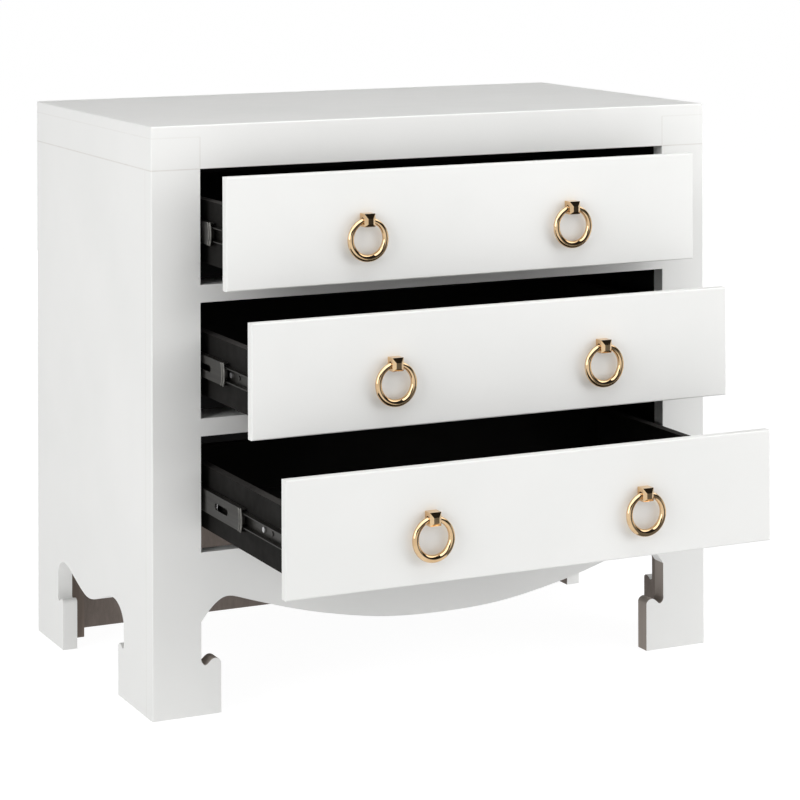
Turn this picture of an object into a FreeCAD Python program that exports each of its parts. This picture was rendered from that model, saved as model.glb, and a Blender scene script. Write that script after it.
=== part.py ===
import FreeCAD, Part
import math
import os

# Three-drawer chest on bracket feet, built from painted boards.
# Millimetres, +Z up, the front looks along -Y.
# Origin: in the middle of the width, where the back plane meets the floor.
# The drawers stand open by REST_OPENING, one more than the next going down.

os.makedirs("parts", exist_ok=True)

Vector = FreeCAD.Vector

# Carcass.
WIDTH = 800.0
DEPTH = 460.0
HEIGHT = 737.0
TOP_PANEL_THICK = 15.0
TOP_RAIL_HEIGHT = 40.0
TOP_RAIL_THICK = 22.0
LEG_WIDTH = 65.0
LEG_THICK = 22.0
SIDE_THICK = 20.0
BACK_THICK = 16.0
DRAWER_RAIL_HEIGHT = 22.0
DRAWER_RAIL_DEPTH = 60.0
APRON_THICK = 22.0
REAR_POST_WIDTH = 27.0
REAR_POST_DEPTH = 44.0
CLEAT_HEIGHT = 40.0
EDGE_ROUND = 2.0

# Openings and drawers, bottom to top.
OPENING_HEIGHT = 145.0
DRAWER_NAMES = ("bottom", "middle", "top")
REST_OPENING = {"top": 82.5, "middle": 163.0, "bottom": 265.5}
FRONT_HEIGHT = 140.0
FRONT_THICK = 12.0
FRONT_SIDE_GAP = 2.0
FRONT_LOW_GAP = 1.8
BOX_DEPTH = 400.0
BOX_BOARD = 12.0
BOX_LOW = 23.0
BOX_HIGH = 102.0
BOTTOM_THICK = 5.0
BOTTOM_LOW = 33.0
GROOVE_DEPTH = 6.0
GROOVE_PLAY = 0.2

# Ball-bearing slides: outer member on the carcass, inner member on the drawer.
SLIDE_LENGTH = 400.0
SLIDE_SETBACK = 20.0
SLIDE_WIDTH = 13.0
SLIDE_HEIGHT_ON_FRONT = 64.0
SLIDE_SHEET = 1.2
OUTER_TALL = 35.0
OUTER_REACH = 10.0
MIDDLE_TALL = 28.0
MIDDLE_REACH = 7.4
MIDDLE_INSET = 3.2
INNER_TALL = 18.0
INNER_REACH = 7.6
SLOT_START = 42.0
SLOT_LENGTH = 43.0
SLOT_TALL = 8.0
STOP_TALL = 12.0
STOP_REACH = 5.8
RIVET_RADIUS = 3.0
RIVET_THICK = 1.0
RIVET_BACK = 43.0

# Slide screws: distances behind the slide's front end, then their sizes.
CABINET_SCREWS_AT = (12.0, 372.0)
DRAWER_SCREWS_AT = (67.0, 330.0)
SCREW_RADIUS = 1.7
SCREW_HEAD_RADIUS = 3.4
CABINET_HEAD_THICK = 1.2
CABINET_SCREW_LENGTH = 18.0
DRAWER_HEAD_THICK = 1.8
DRAWER_SCREW_LENGTH = 11.0
HOLE_PLAY = 0.2

# Ball cages: a folded strip with a row of balls above and a row below.
CAGE_LENGTH = 120.0
CAGE_SHEET = 0.6
CAGE_WEB_SHEET = 0.4
CAGE_BALLS = 4
CAGE_BALL_PITCH = 32.0
BALL_PLAY = 0.05
BALL_SEAT = 2.8
OUTER_CAGE_MIDDLE = 180.0
OUTER_BALL_X = 6.0
INNER_CAGE_MIDDLE = 200.0
INNER_BALL_X = 8.0

# Share of the drawer's own movement.
MIDDLE_SHARE = 0.54
OUTER_CAGE_SHARE = 0.27
INNER_CAGE_SHARE = 0.77

# Ring pulls.
PULL_SPACING = 292.0
PULL_HEIGHT = 79.0
POST_WIDTH = 15.0
POST_HEIGHT = 16.5
POST_DEPTH = 16.8
POST_FACET = 3.2
NOSE_SIZE = 7.0
NOSE_DROP = 1.2
POST_HOLE_RADIUS = 4.5
PIVOT_DEPTH = 8.0
PIVOT_DROP = 1.0
RING_OUTER_RADIUS = 28.0
RING_TOP_TUBE = 3.6
RING_LOW_TUBE = 4.7
RING_SEAT = 0.7
PULL_SCREW_RADIUS = 2.0
PULL_SCREW_ENTRY = 3.0
PULL_HEAD_RADIUS = 4.0
PULL_HEAD_THICK = 2.2

# Ogee top of a foot: share of the flare out from the leg, rise over the foot height.
FOOT_FLARE_FRONT = 26.5
FOOT_FLARE_SIDE = 21.5
FOOT_HEIGHT = 65.0
FOOT_RELIEF_FRONT = 1.0
FOOT_RELIEF_SIDE = 0.6
FOOT_CURVE = (
    (0.0, 6.0),
    (0.04, 0.5),
    (0.2, -3.0),
    (0.42, 1.0),
    (0.7, 4.5),
    (0.94, 1.5),
    (1.0, -4.0),
)

# Scalloped edge of the apron, from the leg to the middle of the belly.
APRON_EDGE = (
    (-335.0, 116.0),
    (-324.5, 129.5),
    (-301.0, 145.0),
    (-282.0, 141.2),
    (-242.5, 128.4),
    (-184.0, 112.0),
    (-150.0, 104.6),
    (-91.0, 94.6),
)
APRON_BELLY = (0.0, 90.0)

# Scalloped edge of the sides: distance behind the front plane, height.
SIDE_FRONT_LEG = 105.0
SIDE_REAR_LEG = 371.0
SIDE_LEG_TOP = 94.0
SIDE_EDGE = (
    (107.5, 101.5),
    (117.5, 112.5),
    (145.0, 120.5),
    (184.5, 111.0),
    (215.0, 101.3),
    (248.0, 96.6),
    (281.0, 103.4),
    (311.0, 113.0),
    (345.0, 120.0),
    (364.0, 112.5),
    (370.0, 102.0),
)

# Planes used by several boards.
FRONT_Y = -DEPTH
REAR_Y = 0.0
HALF = WIDTH / 2
LEG_EDGE = HALF - LEG_WIDTH
INNER_SIDE = HALF - SIDE_THICK
TOP_PANEL_LOW = HEIGHT - TOP_PANEL_THICK
BAND_LOW = TOP_PANEL_LOW - TOP_RAIL_HEIGHT
BACK_Y = REAR_Y - BACK_THICK
POST_Y = BACK_Y - REAR_POST_DEPTH
APRON_TOP = BAND_LOW - 3 * OPENING_HEIGHT - 2 * DRAWER_RAIL_HEIGHT
BOX_HALF = LEG_EDGE - SLIDE_WIDTH
OPENING_LOW = {
    name: APRON_TOP + step * (OPENING_HEIGHT + DRAWER_RAIL_HEIGHT)
    for step, name in enumerate(DRAWER_NAMES)
}


def board(x0, x1, y0, y1, z0, z1):
    """A square-edged board between the given planes."""
    return Part.makeBox(x1 - x0, y1 - y0, z1 - z0, Vector(x0, y0, z0))


def other_side(shape):
    """The same piece for the opposite side of the chest."""
    return shape.mirror(Vector(0, 0, 0), Vector(1, 0, 0))


def rounded(shape, radius, wanted):
    """Round the edges that the wanted test picks."""
    edges = [edge for edge in shape.Edges if wanted(edge.BoundBox)]
    return shape.makeFillet(radius, edges)


def near(a, b):
    return abs(a - b) < 0.01


def smooth(points):
    """Smooth curve through the points."""
    curve = Part.BSplineCurve()
    curve.interpolate(Points=points)
    return curve.toShape()


def line(a, b):
    return Part.LineSegment(a, b).toShape()


def plate(edges, travel):
    """Board cut to the outline made by the edges."""
    return Part.Face(Part.Wire(edges)).extrude(travel)


def foot_top(leg_edge, flare, relief, place):
    """Points along the ogee top of a bracket foot, from the leg to the foot's end."""
    return [place(leg_edge + flare * share, FOOT_HEIGHT + relief * rise) for share, rise in FOOT_CURVE]


# ---------------------------------------------------------------- carcass

def top_panel():
    panel = board(-HALF, HALF, FRONT_Y, REAR_Y, TOP_PANEL_LOW, HEIGHT)

    def show_edge(box):
        upright = box.ZLength > TOP_PANEL_THICK / 2
        on_top = near(box.ZMin, HEIGHT) and near(box.ZMax, HEIGHT)
        return upright or on_top

    return rounded(panel, EDGE_ROUND, show_edge)


def right_top_rail():
    rail = board(LEG_EDGE, HALF, FRONT_Y, REAR_Y, BAND_LOW, TOP_PANEL_LOW)
    return rounded(rail, EDGE_ROUND, lambda box: near(box.XMin, HALF) and box.ZLength > 1)


def cross_top_rail(y0):
    return board(-LEG_EDGE, LEG_EDGE, y0, y0 + TOP_RAIL_THICK, BAND_LOW, TOP_PANEL_LOW)


def right_front_leg():
    """Front leg board with its bracket foot turned in towards the apron."""
    def place(u, z):
        return Vector(u, FRONT_Y, z)

    foot = foot_top(LEG_EDGE, -FOOT_FLARE_FRONT, FOOT_RELIEF_FRONT, place)
    foot_end = place(LEG_EDGE - FOOT_FLARE_FRONT, 0)
    edges = [
        line(place(HALF, 0), place(HALF, BAND_LOW)),
        line(place(HALF, BAND_LOW), place(LEG_EDGE, BAND_LOW)),
        line(place(LEG_EDGE, BAND_LOW), foot[0]),
        smooth(foot),
        line(foot[-1], foot_end),
        line(foot_end, place(HALF, 0)),
    ]
    leg = plate(edges, Vector(0, LEG_THICK, 0))
    return rounded(leg, EDGE_ROUND, lambda box: near(box.XMin, HALF) and near(box.YMax, FRONT_Y))


def right_side_panel():
    """Side board with a scalloped lower edge between its two bracket feet."""
    def place(u, z):
        return Vector(INNER_SIDE, FRONT_Y + u, z)

    scallop = [place(SIDE_FRONT_LEG, SIDE_LEG_TOP)]
    scallop += [place(u, z) for u, z in SIDE_EDGE]
    scallop += [place(SIDE_REAR_LEG, SIDE_LEG_TOP)]
    front_foot = foot_top(SIDE_FRONT_LEG, FOOT_FLARE_SIDE, FOOT_RELIEF_SIDE, place)
    rear_foot = foot_top(SIDE_REAR_LEG, -FOOT_FLARE_SIDE, FOOT_RELIEF_SIDE, place)
    front_foot_end = place(SIDE_FRONT_LEG + FOOT_FLARE_SIDE, 0)
    rear_foot_end = place(SIDE_REAR_LEG - FOOT_FLARE_SIDE, 0)
    edges = [
        line(place(LEG_THICK, 0), place(LEG_THICK, BAND_LOW)),
        line(place(LEG_THICK, BAND_LOW), place(DEPTH, BAND_LOW)),
        line(place(DEPTH, BAND_LOW), place(DEPTH, 0)),
        line(place(DEPTH, 0), rear_foot_end),
        line(rear_foot_end, rear_foot[-1]),
        smooth(rear_foot),
        line(rear_foot[0], scallop[-1]),
        smooth(scallop),
        line(scallop[0], front_foot[0]),
        smooth(front_foot),
        line(front_foot[-1], front_foot_end),
        line(front_foot_end, place(LEG_THICK, 0)),
    ]
    side = plate(Part.__sortEdges__(edges), Vector(SIDE_THICK, 0, 0))
    return rounded(side, EDGE_ROUND, lambda box: near(box.XMin, HALF) and near(box.YMin, REAR_Y))


def front_apron():
    """Apron with an arch beside each leg and a full belly between them."""
    def place(u, z):
        return Vector(u, FRONT_Y, z)

    left = [place(u, z) for u, z in APRON_EDGE]
    right = [place(-u, z) for u, z in reversed(APRON_EDGE)]
    low_left = left[0]
    low_right = right[-1]
    edges = [
        smooth(left + [place(*APRON_BELLY)] + right),
        line(low_right, place(LEG_EDGE, APRON_TOP)),
        line(place(LEG_EDGE, APRON_TOP), place(-LEG_EDGE, APRON_TOP)),
        line(place(-LEG_EDGE, APRON_TOP), low_left),
    ]
    return plate(edges, Vector(0, APRON_THICK, 0))


def drawer_rail(opening_above):
    z1 = OPENING_LOW[opening_above]
    return board(-LEG_EDGE, LEG_EDGE, FRONT_Y, FRONT_Y + DRAWER_RAIL_DEPTH, z1 - DRAWER_RAIL_HEIGHT, z1)


def right_rear_post():
    return board(INNER_SIDE - REAR_POST_WIDTH, INNER_SIDE, POST_Y, BACK_Y, 0, BAND_LOW)


def back_panel():
    return board(-INNER_SIDE, INNER_SIDE, BACK_Y, REAR_Y, 0, BAND_LOW)


def slide_cleats():
    """Six timber packers that bring the slides out to the edge of the opening."""
    cleats = []
    for name in DRAWER_NAMES:
        mid = slide_z(name)
        cleat = board(LEG_EDGE, INNER_SIDE, FRONT_Y + LEG_THICK, POST_Y,
                      mid - CLEAT_HEIGHT / 2, mid + CLEAT_HEIGHT / 2)
        for back in CABINET_SCREWS_AT:
            cleat = cleat.cut(cabinet_shank(back, mid, SCREW_RADIUS + HOLE_PLAY))
        cleats += [cleat, other_side(cleat)]
    return Part.makeCompound(cleats)


# ---------------------------------------------------------------- drawers

def front_z(name):
    return OPENING_LOW[name] + FRONT_LOW_GAP


def slide_z(name):
    return front_z(name) + SLIDE_HEIGHT_ON_FRONT


def closed_to_rest(shape, name, share=1.0):
    """Move a piece from its closed place to where it stands in the open drawer."""
    return shape.translated(Vector(0, -share * REST_OPENING[name], 0))


def bottom_groove(name, play):
    """Space taken by the drawer bottom, grown by the play all round."""
    z0 = front_z(name) + BOTTOM_LOW
    half = BOX_HALF - BOX_BOARD + GROOVE_DEPTH
    back_of_front = FRONT_Y + FRONT_THICK
    return board(-half - play, half + play, back_of_front - GROOVE_DEPTH - play,
                 back_of_front + BOX_DEPTH + play, z0 - play, z0 + BOTTOM_THICK + play)


def drawer_front(name):
    """Inset front, drilled for its two ring pulls and grooved for the bottom."""
    half = LEG_EDGE - FRONT_SIDE_GAP
    z0 = front_z(name)
    front = board(-half, half, FRONT_Y, FRONT_Y + FRONT_THICK, z0, z0 + FRONT_HEIGHT)
    front = rounded(front, EDGE_ROUND, lambda box: near(box.YMax, FRONT_Y))
    front = front.cut(bottom_groove(name, GROOVE_PLAY))
    for x in (-PULL_SPACING / 2, PULL_SPACING / 2):
        hole = Part.makeCylinder(PULL_SCREW_RADIUS + HOLE_PLAY, FRONT_THICK + 2,
                                 Vector(x, FRONT_Y - 1, z0 + PULL_HEIGHT), Vector(0, 1, 0))
        front = front.cut(hole)
    return closed_to_rest(front, name)


def right_box_side(name):
    z0 = front_z(name)
    y0 = FRONT_Y + FRONT_THICK
    side = board(BOX_HALF - BOX_BOARD, BOX_HALF, y0, y0 + BOX_DEPTH, z0 + BOX_LOW, z0 + BOX_HIGH)
    side = side.cut(bottom_groove(name, GROOVE_PLAY))
    for back in DRAWER_SCREWS_AT:
        side = side.cut(drawer_shank(back, slide_z(name), SCREW_RADIUS + HOLE_PLAY))
    return closed_to_rest(side, name)


def box_back(name):
    """Back of the drawer box; the drawer bottom runs under it."""
    z0 = front_z(name)
    half = BOX_HALF - BOX_BOARD
    y1 = FRONT_Y + FRONT_THICK + BOX_DEPTH
    back = board(-half, half, y1 - BOX_BOARD, y1, z0 + BOTTOM_LOW + BOTTOM_THICK, z0 + BOX_HIGH)
    return closed_to_rest(back, name)


def box_bottom(name):
    return closed_to_rest(bottom_groove(name, 0.0), name)


# ----------------------------------------------------------------- slides
# Each function below makes the right-hand piece in its closed place.

def channel(x_web, way, tall, reach, z):
    """Folded channel: a web at x_web with two flanges reaching the given way."""
    y0 = FRONT_Y + SLIDE_SETBACK
    y1 = y0 + SLIDE_LENGTH
    half = tall / 2
    xs = sorted((x_web, x_web + way * reach))
    hull = board(xs[0], xs[1], y0, y1, z - half, z + half)
    xs = sorted((x_web + way * SLIDE_SHEET, x_web + way * (reach + 1)))
    hollow = board(xs[0], xs[1], y0 - 1, y1 + 1, z - half + SLIDE_SHEET, z + half - SLIDE_SHEET)
    return hull.cut(hollow)


def slide_y(back):
    """A place on a slide, measured back from its front end."""
    return FRONT_Y + SLIDE_SETBACK + back


def cabinet_shank(back, z, radius):
    start = Vector(LEG_EDGE - SLIDE_SHEET, slide_y(back), z)
    return Part.makeCylinder(radius, CABINET_SCREW_LENGTH, start, Vector(1, 0, 0))


def drawer_shank(back, z, radius):
    start = Vector(BOX_HALF + SLIDE_SHEET, slide_y(back), z)
    return Part.makeCylinder(radius, DRAWER_SCREW_LENGTH, start, Vector(-1, 0, 0))


def outer_member(z):
    member = channel(LEG_EDGE, -1, OUTER_TALL, OUTER_REACH, z)
    pieces = []
    for back in CABINET_SCREWS_AT:
        member = member.cut(cabinet_shank(back, z, SCREW_RADIUS + HOLE_PLAY))
        seat = Vector(LEG_EDGE - SLIDE_SHEET, slide_y(back), z)
        head = Part.makeCylinder(SCREW_HEAD_RADIUS, CABINET_HEAD_THICK, seat, Vector(-1, 0, 0))
        pieces.append(head.fuse(cabinet_shank(back, z, SCREW_RADIUS)))
    return [member] + pieces


def middle_member(z):
    """Middle channel with its long slot and the tab that stops the drawer."""
    x_web = LEG_EDGE - MIDDLE_INSET
    member = channel(x_web, -1, MIDDLE_TALL, MIDDLE_REACH, z)
    radius = SLOT_TALL / 2
    y0 = slide_y(SLOT_START)
    y1 = y0 + SLOT_LENGTH
    slot = board(x_web - 2, x_web + 1, y0 + radius, y1 - radius, z - radius, z + radius)
    for y in (y0 + radius, y1 - radius):
        slot = slot.fuse(Part.makeCylinder(radius, 3, Vector(x_web - 2, y, z), Vector(1, 0, 0)))
    tab = board(x_web - STOP_REACH, x_web - SLIDE_SHEET / 2, slide_y(0), slide_y(SLIDE_SHEET),
                z - STOP_TALL / 2, z + STOP_TALL / 2)
    return [member.cut(slot).fuse(tab).removeSplitter()]


def inner_member(z):
    member = channel(BOX_HALF, 1, INNER_TALL, INNER_REACH, z)
    face = BOX_HALF + SLIDE_SHEET
    rivet_seat = Vector(face, slide_y(RIVET_BACK), z)
    pieces = [Part.makeCylinder(RIVET_RADIUS, RIVET_THICK, rivet_seat, Vector(1, 0, 0))]
    for back in DRAWER_SCREWS_AT:
        member = member.cut(drawer_shank(back, z, SCREW_RADIUS + HOLE_PLAY))
        seat = Vector(face, slide_y(back), z)
        head = Part.makeCylinder(SCREW_HEAD_RADIUS, DRAWER_HEAD_THICK, seat, Vector(1, 0, 0))
        pieces.append(head.fuse(drawer_shank(back, z, SCREW_RADIUS)))
    return [member] + pieces


def ball_cage(z, race_low, race_high, web_x, ball_x, middle):
    """Folded strip that spaces the balls rolling between two slide members."""
    race = (race_low + race_high) / 2
    ball_radius = (race_high - race_low) / 2 - BALL_PLAY
    y0 = slide_y(middle - CAGE_LENGTH / 2)
    y1 = slide_y(middle + CAGE_LENGTH / 2)
    half_sheet = CAGE_SHEET / 2
    x1 = web_x + CAGE_WEB_SHEET / 2
    cage = board(web_x - CAGE_WEB_SHEET / 2, x1, y0, y1, z - race, z + race)
    balls = []
    for z_race in (z - race, z + race):
        cage = cage.fuse(board(ball_x - BALL_SEAT, x1, y0, y1, z_race - half_sheet, z_race + half_sheet))
        for number in range(CAGE_BALLS):
            y = slide_y(middle) + (number - (CAGE_BALLS - 1) / 2) * CAGE_BALL_PITCH
            seat = Vector(ball_x, y, z_race)
            hole = Part.makeCylinder(ball_radius + BALL_PLAY, 2, seat - Vector(0, 0, 1), Vector(0, 0, 1))
            cage = cage.cut(hole)
            balls.append(Part.makeSphere(ball_radius, seat))
    return [cage.removeSplitter()] + balls


def outer_cage(z):
    """Cage between the outer and the middle member."""
    web_x = LEG_EDGE - (MIDDLE_INSET + SLIDE_SHEET) / 2
    return ball_cage(z, MIDDLE_TALL / 2, OUTER_TALL / 2 - SLIDE_SHEET, web_x,
                     LEG_EDGE - OUTER_BALL_X, OUTER_CAGE_MIDDLE)


def inner_cage(z):
    """Cage between the middle and the inner member."""
    web_x = (BOX_HALF + INNER_REACH + LEG_EDGE - MIDDLE_INSET - SLIDE_SHEET) / 2
    return ball_cage(z, INNER_TALL / 2, MIDDLE_TALL / 2 - SLIDE_SHEET, web_x,
                     LEG_EDGE - INNER_BALL_X, INNER_CAGE_MIDDLE)


def pair(make, name, share):
    """Left and right slide pieces of one drawer, where they rest."""
    right = make(slide_z(name))
    both = right + [other_side(piece) for piece in right]
    return Part.makeCompound([closed_to_rest(piece, name, share) for piece in both])


# ------------------------------------------------------------------ pulls

def pull_middle(name, side):
    return Vector(side * PULL_SPACING / 2, FRONT_Y, front_z(name) + PULL_HEIGHT)


def ring_pivot(name, side):
    return pull_middle(name, side) - Vector(0, PIVOT_DEPTH, PIVOT_DROP)


def pull_ring(name, side):
    """Round ring, thicker at the bottom, hanging through the post."""
    pivot = ring_pivot(name, side)
    middle = pivot - Vector(0, 0, RING_OUTER_RADIUS - RING_TOP_TUBE - RING_SEAT)
    sections = []
    for step in range(9):
        turn = math.pi * step / 8
        tube = RING_TOP_TUBE + (RING_LOW_TUBE - RING_TOP_TUBE) * (1 - math.cos(turn)) / 2
        reach = RING_OUTER_RADIUS - tube
        spot = middle + Vector(reach * math.sin(turn), 0, reach * math.cos(turn))
        along = Vector(math.cos(turn), 0, -math.sin(turn))
        sections.append(Part.Wire(Part.makeCircle(tube, spot, along)))
    half = Part.makeLoft(sections, True)
    other_half = half.mirror(middle, Vector(1, 0, 0))
    return closed_to_rest(half.fuse(other_half), name)


def post_section(middle, width, height):
    half = width / 2
    top = height / 2
    corners = [(-half, -top), (half, -top), (half, top), (-half, top), (-half, -top)]
    return Part.makePolygon([middle + Vector(x, 0, z) for x, z in corners])


def pull_post(name, side):
    """Square post with a faceted nose and the hole its ring hangs in."""
    base = pull_middle(name, side)
    root = post_section(base, POST_WIDTH, POST_HEIGHT)
    shoulder = post_section(base - Vector(0, POST_DEPTH - POST_FACET, 0), POST_WIDTH, POST_HEIGHT)
    nose = post_section(base - Vector(0, POST_DEPTH, NOSE_DROP), NOSE_SIZE, NOSE_SIZE)
    body = Part.makeLoft([root, shoulder], True, True)
    tip = Part.makeLoft([shoulder, nose], True, True)
    ring_hole = Part.makeCylinder(POST_HOLE_RADIUS, POST_WIDTH + 2,
                                  ring_pivot(name, side) - Vector(POST_WIDTH / 2 + 1, 0, 0),
                                  Vector(1, 0, 0))
    screw_hole = Part.makeCylinder(PULL_SCREW_RADIUS + HOLE_PLAY, PULL_SCREW_ENTRY + HOLE_PLAY,
                                   base, Vector(0, -1, 0))
    return closed_to_rest(body.fuse(tip).cut(ring_hole).cut(screw_hole), name)


def pull_screw(name, side):
    """Screw driven from inside the drawer into the back of the post."""
    tip = pull_middle(name, side) - Vector(0, PULL_SCREW_ENTRY, 0)
    shank = Part.makeCylinder(PULL_SCREW_RADIUS, FRONT_THICK + PULL_SCREW_ENTRY, tip, Vector(0, 1, 0))
    seat = tip + Vector(0, FRONT_THICK + PULL_SCREW_ENTRY, 0)
    head = Part.makeCylinder(PULL_HEAD_RADIUS, PULL_HEAD_THICK, seat, Vector(0, 1, 0))
    return closed_to_rest(shank.fuse(head), name)


# ------------------------------------------------------------------- all

def carcass_pieces():
    rail = right_top_rail()
    leg = right_front_leg()
    side = right_side_panel()
    post = right_rear_post()
    return {
        "top_panel": top_panel(),
        "left_top_rail": other_side(rail),
        "right_top_rail": rail,
        "front_top_rail": cross_top_rail(FRONT_Y),
        "back_top_rail": cross_top_rail(REAR_Y - TOP_RAIL_THICK),
        "left_front_leg": other_side(leg),
        "right_front_leg": leg,
        "left_side_panel": other_side(side),
        "right_side_panel": side,
        "left_rear_post": other_side(post),
        "right_rear_post": post,
        "upper_drawer_rail": drawer_rail("top"),
        "lower_drawer_rail": drawer_rail("middle"),
        "front_apron": front_apron(),
        "back_panel": back_panel(),
        "slide_cleats": slide_cleats(),
    }


def drawer_pieces(name):
    side = right_box_side(name)
    return {
        name + "_drawer_front": drawer_front(name),
        name + "_drawer_left_side": other_side(side),
        name + "_drawer_right_side": side,
        name + "_drawer_back": box_back(name),
        name + "_drawer_bottom": box_bottom(name),
        name + "_outer_slides": pair(outer_member, name, 0.0),
        name + "_outer_ball_cages": pair(outer_cage, name, OUTER_CAGE_SHARE),
        name + "_middle_slides": pair(middle_member, name, MIDDLE_SHARE),
        name + "_inner_ball_cages": pair(inner_cage, name, INNER_CAGE_SHARE),
        name + "_inner_slides": pair(inner_member, name, 1.0),
        name + "_left_ring": pull_ring(name, -1),
        name + "_right_ring": pull_ring(name, 1),
        name + "_pull_posts": Part.makeCompound([pull_post(name, -1), pull_post(name, 1)]),
        name + "_pull_screws": Part.makeCompound([pull_screw(name, -1), pull_screw(name, 1)]),
    }


pieces = carcass_pieces()
for drawer in DRAWER_NAMES:
    pieces.update(drawer_pieces(drawer))

for node, shape in pieces.items():
    shape.exportStep("parts/" + node + ".step")
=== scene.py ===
import math

import bpy
from mathutils import Matrix, Vector


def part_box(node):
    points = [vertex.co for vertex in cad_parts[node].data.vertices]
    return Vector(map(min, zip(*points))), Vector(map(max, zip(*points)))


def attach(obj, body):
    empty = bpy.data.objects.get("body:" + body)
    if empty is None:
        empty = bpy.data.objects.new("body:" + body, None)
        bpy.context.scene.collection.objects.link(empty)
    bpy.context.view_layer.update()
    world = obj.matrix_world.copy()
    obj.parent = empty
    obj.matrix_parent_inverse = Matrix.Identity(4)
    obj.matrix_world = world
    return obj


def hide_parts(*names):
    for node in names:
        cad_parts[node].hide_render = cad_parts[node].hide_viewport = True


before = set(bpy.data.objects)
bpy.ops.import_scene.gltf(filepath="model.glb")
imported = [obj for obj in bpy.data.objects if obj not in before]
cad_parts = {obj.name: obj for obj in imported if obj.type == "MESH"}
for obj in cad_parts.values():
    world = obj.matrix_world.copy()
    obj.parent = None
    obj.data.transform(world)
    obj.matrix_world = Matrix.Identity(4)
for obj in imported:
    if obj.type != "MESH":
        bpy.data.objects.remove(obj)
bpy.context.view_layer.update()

# Looks for the chest of drawers. Everything is in metres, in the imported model's frame.

DRAWERS = ("bottom", "middle", "top")
SIDES = {"left": -1, "right": 1}

# Camera: a long lens just above the chest's top, shifted down so that uprights stay upright.
CAMERA_SPOT = Vector((-1.5405, -3.5731, 1.0258))
CAMERA_TURN = math.radians(-25.472)
CAMERA_ROLL = math.radians(-0.163)
CAMERA_LENS = 120.02
LENS_SHIFT = -0.6339
SENSOR_WIDTH = 36.0
SAME_SPOT = 0.001

# Rings, the same as the CAD ones.
RING_RADIUS = 0.028
RING_TOP_TUBE = 0.0036
RING_LOW_TUBE = 0.0047
RING_STEPS = 128
TUBE_STEPS = 32

# Studio: floor and surround brightness, then what only polished metal sees.
FLOOR_REACH = 30.0
FLOOR_DROP = 0.0005
FLOOR_ALBEDO = 0.15
FLOOR_GLOW = 0.75
FLOOR_SEEN = 0.965
SKY_LOW = 0.30
SKY_HIGH = 0.18
SOFTBOX_AIM = (-0.94, -0.22, 0.12)
SOFTBOX_EDGE = 0.88
SOFTBOX_LIGHT = 2.6
STRIPE_AIM = (0.49, -0.87, 0.0)
STRIPE_EDGE = 0.945
STRIPE_LIGHT = 0.02
REAR_WALL_EDGE = 0.45
REAR_WALL_LIGHT = 0.18

# Lamps as (place, size, power), all turned to one point in the chest.
LAMP_AIM = (0, -0.3, 0.35)
LAMPS = {
    "key": ((1.6, -3.6, 2.4), 2.2, 24.0),
    "left_fill": ((-3.2, -1.6, 1.6), 2.0, 56.0),
    "right_fill": ((3.0, -2.4, 0.9), 2.0, 44.0),
    "front_fill": ((-1.0, -4.0, 0.5), 2.0, 5.0),
    "overhead": ((0.3, -1.2, 3.2), 2.0, 40.0),
    "back_fill": ((1.5, 3.5, 0.6), 2.0, 60.0),
}

# Heads of the screws that hold an inner slide to its drawer, behind the slide's front end.
DRAWER_SCREWS_BACK = (0.067, 0.330)
SCREW_HEAD = 0.0034

# Rolled lip at the front end of each middle slide.
LIP_BOW = 0.0038
LIP_BEADS = ((0.0, 0.0034), (0.0064, 0.0022))
LIP_DEPTH = 0.0026
LIP_PROUD = 0.0009
LIP_STEPS = 24
LIP_ROUND = 12

# Joints between boards, where the paint shows a hairline.
JOINT_WIDTH = 0.0016
LEG_TOP = 0.682
RAIL_TOP = 0.722
LEG_BACK = -0.438
LEG_INNER = 0.335

# Where boards are bare and cut, and where near black painted shade covers them beside the drawers.
APRON_LOW = 0.116
DRAWERS_LOW = 0.135
LEG_OUTER = 0.3975

# A face counts as looking one way from this much of its normal, and as upright below the other.
LOOKS = 0.7
UPRIGHT = 0.35

# Rounded edges.
TOP_EDGE = 0.0003
SIDE_EDGE = 0.0004
BOARD_EDGE = 0.0005
BOX_EDGE = 0.0006
APRON_EDGE = 0.0007
SAWN_EDGE = 0.0008
POST_EDGE = 0.0012
EDGE_STEPS = 3


# --------------------------------------------------------------- node helpers

def new_material(name):
    """Empty node material with its shader: (material, node tree, principled shader)."""
    material = bpy.data.materials.new(name)
    material.use_nodes = True
    tree = material.node_tree
    return material, tree, tree.nodes["Principled BSDF"]


def add(tree, kind, **values):
    """New node with its named settings."""
    node = tree.nodes.new(kind)
    for key, value in values.items():
        setattr(node, key, value)
    return node


def link(tree, source, target):
    tree.links.new(source, target)


def object_place(tree):
    return add(tree, "ShaderNodeTexCoord").outputs["Object"]


def stretched(tree, stretch):
    """Object coordinates scaled by the stretch along X, Y and Z."""
    mapping = add(tree, "ShaderNodeMapping")
    mapping.inputs["Scale"].default_value = stretch
    link(tree, object_place(tree), mapping.inputs["Vector"])
    return mapping.outputs["Vector"]


def noise(tree, scale, detail=4.0, stretch=(1, 1, 1), roughness=0.5):
    node = add(tree, "ShaderNodeTexNoise")
    node.inputs["Scale"].default_value = scale
    node.inputs["Detail"].default_value = detail
    node.inputs["Roughness"].default_value = roughness
    link(tree, stretched(tree, stretch), node.inputs["Vector"])
    return node.outputs["Fac"]


def ramp(tree, factor, *stops):
    """Colour ramp through (position, colour) stops."""
    node = add(tree, "ShaderNodeValToRGB")
    elements = node.color_ramp.elements
    while len(elements) < len(stops):
        elements.new(0.5)
    for element, (position, colour) in zip(elements, stops):
        element.position = position
        element.color = (*colour, 1.0)
    link(tree, factor, node.inputs["Fac"])
    return node.outputs["Color"]


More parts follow.
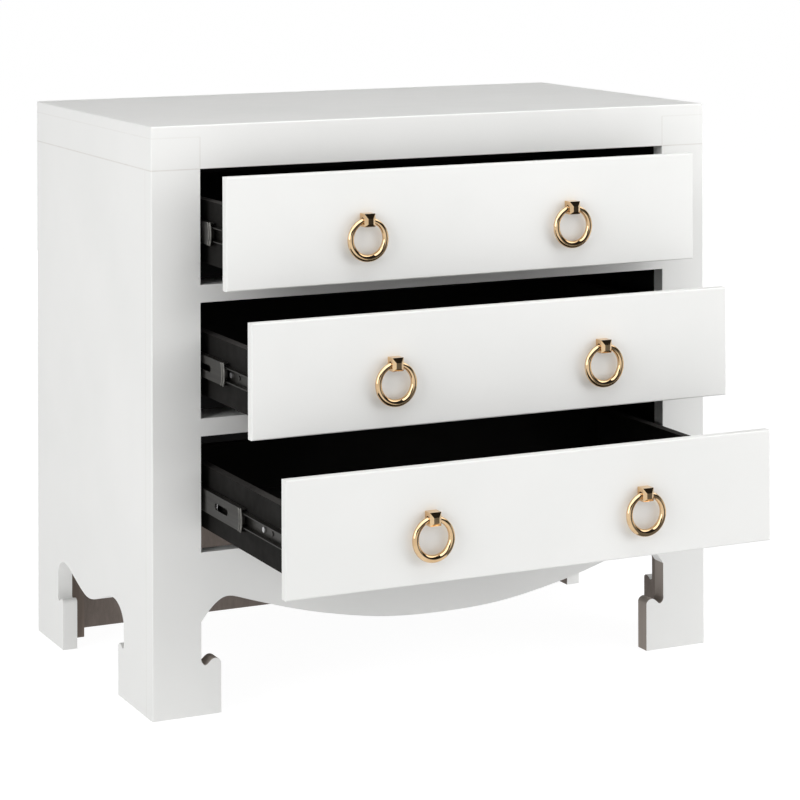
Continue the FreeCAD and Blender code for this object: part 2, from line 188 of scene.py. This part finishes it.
def grey_ramp(tree, factor, low, high, start=0.3, end=0.7):
    """Plain value that runs from low to high as the factor goes from start to end."""
    node = add(tree, "ShaderNodeMapRange")
    node.inputs["From Min"].default_value = start
    node.inputs["From Max"].default_value = end
    node.inputs["To Min"].default_value = low
    node.inputs["To Max"].default_value = high
    link(tree, factor, node.inputs["Value"])
    return node.outputs["Result"]


def mix_colour(tree, factor, first, second, blend="MIX"):
    node = add(tree, "ShaderNodeMix", data_type="RGBA", blend_type=blend)
    for socket, value in ((node.inputs[0], factor), (node.inputs[6], first), (node.inputs[7], second)):
        if isinstance(value, bpy.types.NodeSocket):
            link(tree, value, socket)
        elif isinstance(value, tuple):
            socket.default_value = (*value, 1.0)
        else:
            socket.default_value = value
    return node.outputs[2]


def maths(tree, operation, first, second=0.0):
    node = add(tree, "ShaderNodeMath", operation=operation)
    for socket, value in zip(node.inputs, (first, second)):
        if isinstance(value, bpy.types.NodeSocket):
            link(tree, value, socket)
        else:
            socket.default_value = value
    return node.outputs["Value"]


def split(tree, vector):
    node = add(tree, "ShaderNodeSeparateXYZ")
    link(tree, vector, node.inputs["Vector"])
    return node.outputs["X"], node.outputs["Y"], node.outputs["Z"]


def facing(tree):
    """The surface's flat normal, as X, Y and Z."""
    return split(tree, add(tree, "ShaderNodeNewGeometry").outputs["True Normal"])


def bump(tree, shader, *layers):
    """Stack of bumps, each a (height, distance, strength)."""
    normal = None
    for height, distance, strength in layers:
        node = add(tree, "ShaderNodeBump")
        node.inputs["Distance"].default_value = distance
        node.inputs["Strength"].default_value = strength
        link(tree, height, node.inputs["Height"])
        if normal is not None:
            link(tree, normal, node.inputs["Normal"])
        normal = node.outputs["Normal"]
    link(tree, normal, shader.inputs["Normal"])


# ------------------------------------------------------------------ materials

WHITE_HIGH = (0.865, 0.865, 0.850)
WHITE_LOW = (0.835, 0.838, 0.822)
HAIRLINE = (0.42, 0.37, 0.31)
HAIRLINE_DEPTH = 0.32
BARE_HIGH = (0.300, 0.255, 0.225)
BARE_LOW = (0.215, 0.180, 0.160)
# Light tone and its share, mixed into the legs' bare board as painted light.
CUT_PAINTED_LIGHT_TONE = (0.56, 0.50, 0.45)
CUT_PAINTED_LIGHT_SHARE = 0.5


def paint_colour(tree):
    """White satin paint, with the faint clouding of a rolled coat."""
    clouds = noise(tree, 5.0, 3.0)
    specks = noise(tree, 380.0, 2.0)
    base = ramp(tree, clouds, (0.35, WHITE_LOW), (0.65, WHITE_HIGH))
    coat = mix_colour(tree, grey_ramp(tree, specks, 0.0, 0.05), base, WHITE_LOW)
    return mix_colour(tree, maths(tree, "MULTIPLY", hairlines(tree), HAIRLINE_DEPTH), coat, HAIRLINE)


def near(tree, place, spot, width):
    """1 within half the width of a plane across one axis."""
    away = maths(tree, "ABSOLUTE", maths(tree, "SUBTRACT", place, spot))
    return maths(tree, "LESS_THAN", away, width / 2)


def hairlines(tree):
    """Fine lines in the paint along the joints between boards, 0 to 1."""
    x, y, z = split(tree, object_place(tree))
    outer = maths(tree, "ABSOLUTE", x)
    over_leg = maths(tree, "GREATER_THAN", outer, LEG_INNER)
    under_rail = maths(tree, "LESS_THAN", z, LEG_TOP)
    beside_rail = maths(tree, "MULTIPLY", maths(tree, "GREATER_THAN", z, LEG_TOP),
                        maths(tree, "LESS_THAN", z, RAIL_TOP))
    leg_top = near(tree, z, LEG_TOP, JOINT_WIDTH)
    rail_top = maths(tree, "MULTIPLY", near(tree, z, RAIL_TOP, JOINT_WIDTH),
                     maths(tree, "MULTIPLY", over_leg, 0.3))
    leg_back = maths(tree, "MULTIPLY", near(tree, y, LEG_BACK, JOINT_WIDTH),
                     maths(tree, "MULTIPLY", under_rail, 0.5))
    leg_side = maths(tree, "MULTIPLY", near(tree, outer, LEG_INNER, JOINT_WIDTH),
                     maths(tree, "MULTIPLY", beside_rail, 0.6))
    lines = maths(tree, "MAXIMUM", maths(tree, "MAXIMUM", leg_top, rail_top),
                  maths(tree, "MAXIMUM", leg_back, leg_side))
    wear = grey_ramp(tree, noise(tree, 45.0, 3.0), 0.55, 1.0)
    return maths(tree, "MULTIPLY", lines, wear)


def bare_colour(tree):
    """Pressed fibreboard: fine fibres over broad grey-brown clouds."""
    clouds = noise(tree, 9.0, 4.0)
    fibres = noise(tree, 240.0, 6.0, (1.0, 1.0, 0.25), 0.7)
    base = ramp(tree, clouds, (0.3, BARE_LOW), (0.7, BARE_HIGH))
    return mix_colour(tree, grey_ramp(tree, fibres, 0.0, 0.45), base, (0.14, 0.115, 0.10))


def cut_edge_painted_light(tree):
    """Bare sawn board mixed half toward a light tone: painted light in the shade under the chest."""
    return mix_colour(tree, CUT_PAINTED_LIGHT_SHARE, bare_colour(tree), CUT_PAINTED_LIGHT_TONE)


def inside_with_painted_shade(tree):
    """Bare board low down; above it, near black painted shade beside the drawers."""
    _, _, z = split(tree, object_place(tree))
    # Near black colour that paints the deep shade inside the carcass.
    near_black_shade = ramp(tree, noise(tree, 20.0), (0.3, (0.006, 0.006, 0.006)), (0.7, (0.010, 0.010, 0.010)))
    return mix_colour(tree, maths(tree, "GREATER_THAN", z, DRAWERS_LOW), bare_colour(tree), near_black_shade)


def white_paint(name, bare_mask=None, under=bare_colour):
    """Painted board; bare_mask(tree) is 1 where the board is left unpainted."""
    material, tree, shader = new_material(name)
    colour = paint_colour(tree)
    rough = grey_ramp(tree, noise(tree, 30.0, 3.0), 0.34, 0.44)
    if bare_mask:
        mask = bare_mask(tree)
        colour = mix_colour(tree, mask, colour, under(tree))
        rough = maths(tree, "ADD", rough, maths(tree, "MULTIPLY", mask, 0.4))
    link(tree, colour, shader.inputs["Base Color"])
    link(tree, rough, shader.inputs["Roughness"])
    shader.inputs["Specular IOR Level"].default_value = 0.35
    orange_peel = noise(tree, 420.0, 2.0)
    roller = noise(tree, 60.0, 3.0)
    bump(tree, shader, (roller, 0.0004, 0.10), (orange_peel, 0.0001, 0.16))
    return material


def inner_side_mask(sign):
    """1 on the side panel's face that looks into the carcass."""
    def mask(tree):
        x, _, _ = facing(tree)
        return maths(tree, "GREATER_THAN", maths(tree, "MULTIPLY", x, -sign), LOOKS)
    return mask


def leg_mask(tree):
    """1 on the back of a leg, and on its cut edges under the apron."""
    _, normal_y, _ = facing(tree)
    place_x, _, place_z = split(tree, object_place(tree))
    low = maths(tree, "LESS_THAN", place_z, APRON_LOW)
    edge = maths(tree, "LESS_THAN", maths(tree, "ABSOLUTE", normal_y), UPRIGHT)
    inboard = maths(tree, "LESS_THAN", maths(tree, "ABSOLUTE", place_x), LEG_OUTER)
    cut = maths(tree, "MULTIPLY", maths(tree, "MULTIPLY", low, edge), inboard)
    back = maths(tree, "GREATER_THAN", normal_y, LOOKS)
    return maths(tree, "MAXIMUM", cut, back)


def underside_mask(tree):
    _, _, z = facing(tree)
    return maths(tree, "LESS_THAN", z, -LOOKS)


def hidden_mask(tree):
    """1 on faces that look down or back."""
    return maths(tree, "MAXIMUM", underside_mask(tree), back_face_mask(tree))


def back_face_mask(tree):
    _, y, _ = facing(tree)
    return maths(tree, "GREATER_THAN", y, LOOKS)


def bare_board(name):
    """Back board: bare outside and low down; near black painted shade on its inner face beside the
    drawers.
    """
    material, tree, shader = new_material(name)
    inward = maths(tree, "SUBTRACT", 1.0, back_face_mask(tree))
    colour = mix_colour(tree, inward, bare_colour(tree), inside_with_painted_shade(tree))
    link(tree, colour, shader.inputs["Base Color"])
    shader.inputs["Specular IOR Level"].default_value = 0.2
    shader.inputs["Roughness"].default_value = 0.82
    bump(tree, shader, (noise(tree, 300.0, 6.0, (1, 1, 0.3), 0.7), 0.0004, 0.25))
    return material


def bare_timber(name, along):
    """Sawn timber with its grain along the given axis, near black painted shade beside the drawers."""
    stretch = tuple(0.06 if axis == along else 1.0 for axis in "xyz")
    material, tree, shader = new_material(name)
    grain = noise(tree, 70.0, 8.0, stretch, 0.65)
    rings = noise(tree, 14.0, 3.0, stretch)
    base = ramp(tree, rings, (0.3, (0.24, 0.195, 0.165)), (0.7, (0.33, 0.275, 0.235)))
    sawn = mix_colour(tree, grey_ramp(tree, grain, 0.0, 0.55), base, (0.13, 0.10, 0.085))
    _, _, z = split(tree, object_place(tree))
    # Near black painted shade above the lowest drawer, on every face that does not look back.
    near_black_shade = ramp(tree, grain, (0.3, (0.006, 0.006, 0.006)), (0.7, (0.011, 0.010, 0.010)))
    inside = maths(tree, "MULTIPLY", maths(tree, "GREATER_THAN", z, DRAWERS_LOW),
                   maths(tree, "SUBTRACT", 1.0, back_face_mask(tree)))
    link(tree, mix_colour(tree, inside, sawn, near_black_shade), shader.inputs["Base Color"])
    shader.inputs["Specular IOR Level"].default_value = 0.2
    shader.inputs["Roughness"].default_value = 0.75
    bump(tree, shader, (grain, 0.0006, 0.3))
    return material


def dark_board(name):
    """Charcoal faced drawer board, with painted light on every face that looks up."""
    material, tree, shader = new_material(name)
    clouds = noise(tree, 12.0, 4.0)
    base = ramp(tree, clouds, (0.3, (0.0095, 0.0090, 0.0085)), (0.7, (0.0140, 0.0134, 0.0127)))
    # Faces that look up are lightened: painted light from above.
    _, _, up = facing(tree)
    painted_top_light = maths(tree, "GREATER_THAN", up, 0.6)
    colour = mix_colour(tree, maths(tree, "MULTIPLY", painted_top_light, 0.8), base, (0.045, 0.043, 0.041))
    link(tree, colour, shader.inputs["Base Color"])
    shader.inputs["Specular IOR Level"].default_value = 0.06
    link(tree, grey_ramp(tree, noise(tree, 60.0), 0.65, 0.8), shader.inputs["Roughness"])
    bump(tree, shader, (noise(tree, 700.0, 2.0), 0.0001, 0.2))
    return material


def screw_heads(tree, spots):
    """1 on the round heads of the screws at the given (y, z) places."""
    _, y, z = split(tree, object_place(tree))
    heads = 0.0
    for spot_y, spot_z in spots:
        away_y = maths(tree, "SUBTRACT", y, spot_y)
        away_z = maths(tree, "SUBTRACT", z, spot_z)
        away = maths(tree, "ADD", maths(tree, "MULTIPLY", away_y, away_y),
                     maths(tree, "MULTIPLY", away_z, away_z))
        heads = maths(tree, "MAXIMUM", maths(tree, "LESS_THAN", away, SCREW_HEAD * SCREW_HEAD), heads)
    return heads


def slide_steel(name, screws=()):
    """Black plated steel, drawn lengthwise, with a thin film of grease."""
    material, tree, shader = new_material(name)
    streaks = noise(tree, 300.0, 4.0, (1.0, 0.01, 1.0))
    smears = noise(tree, 25.0, 3.0, (1.0, 0.3, 1.0))
    base = ramp(tree, smears, (0.3, (0.026, 0.025, 0.023)), (0.7, (0.054, 0.051, 0.047)))
    colour = mix_colour(tree, grey_ramp(tree, streaks, 0.0, 0.5), base, (0.085, 0.081, 0.074))
    if screws:
        colour = mix_colour(tree, screw_heads(tree, screws), colour, (0.62, 0.62, 0.63))
    link(tree, colour, shader.inputs["Base Color"])
    shader.inputs["Metallic"].default_value = 0.85
    link(tree, grey_ramp(tree, smears, 0.28, 0.46), shader.inputs["Roughness"])
    bump(tree, shader, (streaks, 0.00005, 0.15))
    return material


def lip_steel(name):
    """Steel of the rolled slide ends, lighter than the slides, with a mottled tone."""
    material, tree, shader = new_material(name)
    lip_mottle = noise(tree, 160.0, 4.0)
    link(tree, ramp(tree, lip_mottle, (0.3, (0.10, 0.098, 0.090)), (0.7, (0.20, 0.195, 0.180))),
         shader.inputs["Base Color"])
    shader.inputs["Metallic"].default_value = 0.5
    link(tree, grey_ramp(tree, lip_mottle, 0.35, 0.5), shader.inputs["Roughness"])
    bump(tree, shader, (lip_mottle, 0.0001, 0.2))
    return material


def bright_steel(name):
    """Zinc plated steel of ball cages and screws."""
    material, tree, shader = new_material(name)
    marks = noise(tree, 220.0, 4.0)
    link(tree, ramp(tree, marks, (0.3, (0.42, 0.42, 0.43)), (0.7, (0.62, 0.62, 0.64))),
         shader.inputs["Base Color"])
    shader.inputs["Metallic"].default_value = 1.0
    link(tree, grey_ramp(tree, marks, 0.16, 0.32), shader.inputs["Roughness"])
    bump(tree, shader, (noise(tree, 900.0, 2.0), 0.00003, 0.1))
    return material


def gold(name):
    """Polished pale gold plating, with the soft ripple of a cast piece."""
    material, tree, shader = new_material(name)
    tone = noise(tree, 60.0, 3.0)
    link(tree, ramp(tree, tone, (0.3, (0.74, 0.51, 0.29)), (0.7, (0.86, 0.63, 0.38))),
         shader.inputs["Base Color"])
    shader.inputs["Metallic"].default_value = 1.0
    link(tree, grey_ramp(tree, noise(tree, 400.0, 3.0), 0.05, 0.10), shader.inputs["Roughness"])
    bump(tree, shader, (noise(tree, 90.0, 2.0), 0.0003, 0.12))
    return material


# ---------------------------------------------------------------- CAD surfaces

def soften(piece, width):
    """Small rounded edges all over a board or fitting."""
    bevel = piece.modifiers.new("soft_edges", "BEVEL")
    bevel.width = width
    bevel.segments = EDGE_STEPS
    bevel.limit_method = "ANGLE"
    bevel.angle_limit = math.radians(40)
    bevel.use_clamp_overlap = True
    bevel.harden_normals = True


def dress(node, material, edge=0.0):
    """Gives a CAD node its material and, for a board, rounded edges."""
    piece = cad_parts[node]
    piece.data.materials.clear()
    piece.data.materials.append(material)
    if edge:
        soften(piece, edge)


def dress_carcass():
    # Rails' undersides and backs: near black painted shade beside the drawers.
    rails = white_paint("white_paint_shade_under", hidden_mask, inside_with_painted_shade)
    under = white_paint("white_paint_bare_under", underside_mask)
    backed = white_paint("white_paint_bare_back", back_face_mask)
    # Legs: bare backs and sawn edges under the apron, lightened with painted light.
    legs = white_paint("white_paint_bare_edges_painted_light", leg_mask, cut_edge_painted_light)
    for name, sign in SIDES.items():
        # Side panels' inner faces: bare low down, near black painted shade beside the drawers.
        side_paint = white_paint(name + "_side_paint", inner_side_mask(sign), inside_with_painted_shade)
        dress(name + "_side_panel", side_paint, SIDE_EDGE)
        dress(name + "_front_leg", legs, BOARD_EDGE)
        dress(name + "_top_rail", under, TOP_EDGE)
        dress(name + "_rear_post", bare_timber(name + "_post_timber", "z"), POST_EDGE)
    dress("top_panel", under, TOP_EDGE)
    dress("front_top_rail", backed, TOP_EDGE)
    dress("front_apron", backed, APRON_EDGE)
    dress("upper_drawer_rail", rails, BOARD_EDGE)
    dress("lower_drawer_rail", rails, BOARD_EDGE)
    dress("back_panel", bare_board("back_board"), BOX_EDGE)
    dress("back_top_rail", bare_timber("back_rail_timber", "x"), SAWN_EDGE)
    dress("slide_cleats", bare_timber("cleat_timber", "y"), SAWN_EDGE)


def dress_drawers():
    front = white_paint("drawer_front_paint", back_face_mask)
    boards = dark_board("drawer_box_board")
    steel = slide_steel("slide_steel")
    lips = lip_steel("slide_lip_steel")
    bright = bright_steel("bright_steel")
    plating = gold("pull_gold")
    for name in DRAWERS:
        dress(name + "_drawer_front", front, BOARD_EDGE)
        for part in ("left_side", "right_side", "back", "bottom"):
            dress(name + "_drawer_" + part, boards, BOX_EDGE)
        for part in ("outer_slides", "middle_slides"):
            dress(name + "_" + part, steel)
        low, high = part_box(name + "_inner_slides")
        spots = [(low.y + back, (low.z + high.z) / 2) for back in DRAWER_SCREWS_BACK]
        dress(name + "_inner_slides", slide_steel(name + "_inner_steel", spots))
        for part in ("outer_ball_cages", "inner_ball_cages", "pull_screws"):
            dress(name + "_" + part, bright)
        dress(name + "_pull_posts", plating, BOX_EDGE)
        for side in SIDES:
            hang_ring(name, side, plating)
            end_lip(name, side, lips)


# ------------------------------------------------------------------ new pieces

def mesh_piece(name, points, faces, material, smooth=True):
    mesh = bpy.data.meshes.new(name)
    mesh.from_pydata(points, [], faces)
    mesh.update()
    mesh.materials.append(material)
    if smooth:
        mesh.shade_smooth()
    piece = bpy.data.objects.new(name, mesh)
    bpy.context.scene.collection.objects.link(piece)
    return piece


def hang_ring(drawer, side, material):
    """Fine smooth ring in place of the CAD ring, thicker towards the bottom."""
    node = drawer + "_" + side + "_ring"
    low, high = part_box(node)
    middle = (low + high) / 2
    points = []
    for step in range(RING_STEPS):
        turn = 2 * math.pi * step / RING_STEPS
        tube = RING_TOP_TUBE + (RING_LOW_TUBE - RING_TOP_TUBE) * (1 - math.cos(turn)) / 2
        reach = RING_RADIUS - tube
        for part in range(TUBE_STEPS):
            lean = 2 * math.pi * part / TUBE_STEPS
            out = reach + tube * math.cos(lean)
            spot = Vector((out * math.sin(turn), tube * math.sin(lean), out * math.cos(turn)))
            points.append(middle + spot)
    faces = []
    for step in range(RING_STEPS):
        after = (step + 1) % RING_STEPS
        for part in range(TUBE_STEPS):
            beside = (part + 1) % TUBE_STEPS
            faces.append((step * TUBE_STEPS + part, after * TUBE_STEPS + part,
                          after * TUBE_STEPS + beside, step * TUBE_STEPS + beside))
    ring = mesh_piece(drawer + "_" + side + "_smooth_ring", points, faces, material)
    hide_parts(node)
    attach(ring, drawer + "_" + side + "_ring_pull")


def end_lip(drawer, side, material):
    """Rolled lip round the front end of a middle slide, bowed forward."""
    low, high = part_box(drawer + "_middle_slides")
    sign = SIDES[side]
    web = high.x
    half = (high.z - low.z) / 2
    middle = (high.z + low.z) / 2
    radius = (half * half + LIP_BOW * LIP_BOW) / (2 * LIP_BOW)
    spread = math.asin(half / radius)
    points = []
    faces = []
    for setback, size in LIP_BEADS:
        first = len(points)
        for step in range(LIP_STEPS + 1):
            lean = spread * (2 * step / LIP_STEPS - 1)
            for part in range(LIP_ROUND):
                turn = 2 * math.pi * part / LIP_ROUND
                reach = radius + size / 2 * math.sin(turn)
                x = web + LIP_PROUD - LIP_DEPTH / 2 * (1 - math.cos(turn))
                y = low.y + setback + size / 2 + radius - LIP_BOW - reach * math.cos(lean)
                points.append(Vector((sign * x, y, middle + reach * math.sin(lean))))
        last = first + LIP_STEPS * LIP_ROUND
        faces.append(tuple(first + part for part in range(LIP_ROUND)))
        faces.append(tuple(last + part for part in reversed(range(LIP_ROUND))))
        for row in range(first, last, LIP_ROUND):
            for part in range(LIP_ROUND):
                beside = (part + 1) % LIP_ROUND
                faces.append((row + part, row + LIP_ROUND + part, row + LIP_ROUND + beside, row + beside))
    lip = mesh_piece(drawer + "_" + side + "_slide_lip", points, faces, material)
    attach(lip, drawer + "_slide_middle")


# ----------------------------------------------------------------- the studio

def toward(tree, direction, aim):
    """Cosine between a direction and a fixed aim."""
    node = add(tree, "ShaderNodeVectorMath", operation="DOT_PRODUCT")
    link(tree, direction, node.inputs[0])
    node.inputs[1].default_value = Vector(aim).normalized()
    return node.outputs["Value"]


def dark_stripe(tree, direction):
    """1 in the dark upright gap of the studio, to the front right."""
    level = add(tree, "ShaderNodeVectorMath", operation="MULTIPLY")
    link(tree, direction, level.inputs[0])
    level.inputs[1].default_value = (1.0, 1.0, 0.0)
    flat = add(tree, "ShaderNodeVectorMath", operation="NORMALIZE")
    link(tree, level.outputs["Vector"], flat.inputs[0])
    return maths(tree, "GREATER_THAN", toward(tree, flat.outputs["Vector"], STRIPE_AIM), STRIPE_EDGE)


def floor_material():
    """Pale floor that stays almost white and keeps a faint shadow."""
    material, tree, shader = new_material("studio_floor")
    shader.inputs["Roughness"].default_value = 0.9
    shader.inputs["Specular IOR Level"].default_value = 0.0
    speckle = noise(tree, 40.0)
    link(tree, ramp(tree, speckle, (0.3, (FLOOR_ALBEDO,) * 3), (0.7, (FLOOR_ALBEDO * 1.03,) * 3)),
         shader.inputs["Base Color"])
    shader.inputs["Emission Color"].default_value = (1.0, 1.0, 1.0, 1.0)
    path = add(tree, "ShaderNodeLightPath")
    glow = grey_ramp(tree, path.outputs["Is Camera Ray"], FLOOR_GLOW, FLOOR_SEEN, 0.0, 1.0)
    gap = maths(tree, "MULTIPLY", dark_stripe(tree, object_place(tree)), path.outputs["Is Glossy Ray"])
    link(tree, maths(tree, "MULTIPLY", glow, maths(tree, "SUBTRACT", 1.0, gap)),
         shader.inputs["Emission Strength"])
    return material


def make_floor():
    signs = ((-1, -1), (1, -1), (1, 1), (-1, 1))
    corners = [Vector((x * FLOOR_REACH, y * FLOOR_REACH, -FLOOR_DROP)) for x, y in signs]
    mesh_piece("floor", corners, [(0, 1, 2, 3)], floor_material(), False)


def make_world():
    """Soft surround for the paint; a studio with bright and dark parts for polished metal to show."""
    world = bpy.data.worlds.new("studio")
    world.use_nodes = True
    bpy.context.scene.world = world
    tree = world.node_tree
    background = tree.nodes["Background"]
    direction = add(tree, "ShaderNodeTexCoord").outputs["Generated"]
    _, back, up = split(tree, direction)
    light = ramp(tree, up, (0.0, (SKY_LOW,) * 3), (1.0, (SKY_HIGH,) * 3))
    heights = ramp(tree, up, (0.0, (0.75,) * 3), (0.10, (0.60,) * 3), (0.16, (0.03,) * 3),
                   (0.40, (0.03,) * 3), (0.50, (1.9,) * 3), (1.0, (2.2,) * 3))
    softbox = maths(tree, "GREATER_THAN", toward(tree, direction, SOFTBOX_AIM), SOFTBOX_EDGE)
    studio = mix_colour(tree, dark_stripe(tree, direction), heights, (STRIPE_LIGHT,) * 3)
    studio = mix_colour(tree, softbox, studio, (SOFTBOX_LIGHT,) * 3)
    rear_wall = maths(tree, "GREATER_THAN", back, REAR_WALL_EDGE)
    studio = mix_colour(tree, rear_wall, studio, (REAR_WALL_LIGHT,) * 3)
    path = add(tree, "ShaderNodeLightPath")
    seen = mix_colour(tree, path.outputs["Is Glossy Ray"], light, studio)
    shown = mix_colour(tree, path.outputs["Is Camera Ray"], seen, (1.0, 1.0, 1.0))
    link(tree, shown, background.inputs["Color"])
    background.inputs["Strength"].default_value = 1.0


def area_light(name, spot, target, size, power):
    light = bpy.data.lights.new(name, "AREA")
    light.shape = "RECTANGLE"
    light.size = size
    light.size_y = size
    light.energy = power
    lamp = bpy.data.objects.new(name, light)
    lamp.location = spot
    lamp.rotation_euler = (Vector(target) - Vector(spot)).to_track_quat("-Z", "Y").to_euler()
    lamp.visible_glossy = False
    bpy.context.scene.collection.objects.link(lamp)


def make_lights():
    for name, (spot, size, power) in LAMPS.items():
        area_light(name, spot, LAMP_AIM, size, power)


def make_camera():
    data = bpy.data.cameras.new("camera")
    data.lens = CAMERA_LENS
    data.sensor_width = SENSOR_WIDTH
    camera = bpy.data.objects.new("camera", data)
    turn = Matrix.Rotation(CAMERA_TURN, 4, "Z") @ Matrix.Rotation(math.radians(90), 4, "X")
    camera.matrix_world = Matrix.Translation(CAMERA_SPOT) @ turn @ Matrix.Rotation(CAMERA_ROLL, 4, "Z")
    bpy.context.scene.collection.objects.link(camera)
    bpy.context.scene.camera = camera
    shift_only_from_here(camera)


def shift_only_from_here(camera):
    """Lens shift that holds only at the camera's own spot, so that other views stay centred."""
    driver = camera.data.driver_add("shift_y").driver
    driver.type = "SCRIPTED"
    tests = []
    for axis, value in zip("xyz", CAMERA_SPOT):
        variable = driver.variables.new()
        variable.name = axis
        variable.type = "TRANSFORMS"
        variable.targets[0].id = camera
        variable.targets[0].transform_type = "LOC_" + axis.upper()
        variable.targets[0].transform_space = "WORLD_SPACE"
        tests.append("abs({} - ({:.4f})) < {}".format(axis, value, SAME_SPOT))
    driver.expression = "{:.4f} if {} else 0.0".format(LENS_SHIFT, " and ".join(tests))


dress_carcass()
dress_drawers()
make_floor()
make_world()
make_lights()
make_camera()
bpy.context.scene.view_settings.view_transform = "Standard"
